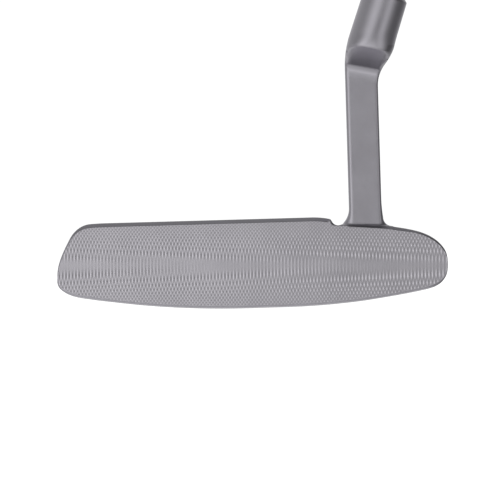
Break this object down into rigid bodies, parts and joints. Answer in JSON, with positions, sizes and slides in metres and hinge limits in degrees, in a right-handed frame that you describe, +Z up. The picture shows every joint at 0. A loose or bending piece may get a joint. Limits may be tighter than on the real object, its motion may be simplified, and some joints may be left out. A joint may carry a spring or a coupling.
{
  "type": "blade putter",
  "caption": "Right-handed blade putter with a milled face, rectangular plumber's neck, round hosel, stepped steel shaft and pistol grip.",
  "frame": {"origin": "point of the sole that rests on the ground at address, below the middle of the flat land of the sole", "axes": "+Z up at address, -Y the direction the face looks and the ball is struck, +X from toe to heel, towards the golfer"},
  "size_m": [0.3681, 0.0452, 0.8198],
  "materials": {
    "satin_steel": "fine bead-blasted satin, fly-cut milling on the face",
    "weight_steel": "turned satin",
    "black_paint": "satin paint fill",
    "chrome": "polished chrome plate",
    "plug_nylon": "natural nylon",
    "tape": "paper-backed adhesive tape",
    "black_rubber": "matt moulded rubber with a fine texture",
    "cap_rubber": "smooth moulded rubber"
  },
  "bodies": {
    "root": {"head_body": "satin_steel", "plumber_neck": "satin_steel", "toe_weight": "weight_steel", "heel_weight": "weight_steel", "sight_line": "black_paint", "shaft": "chrome", "tip_plug": "plug_nylon", "grip_tape": "tape", "grip": "black_rubber", "grip_cap": "cap_rubber"}
  },
  "joints": []
}
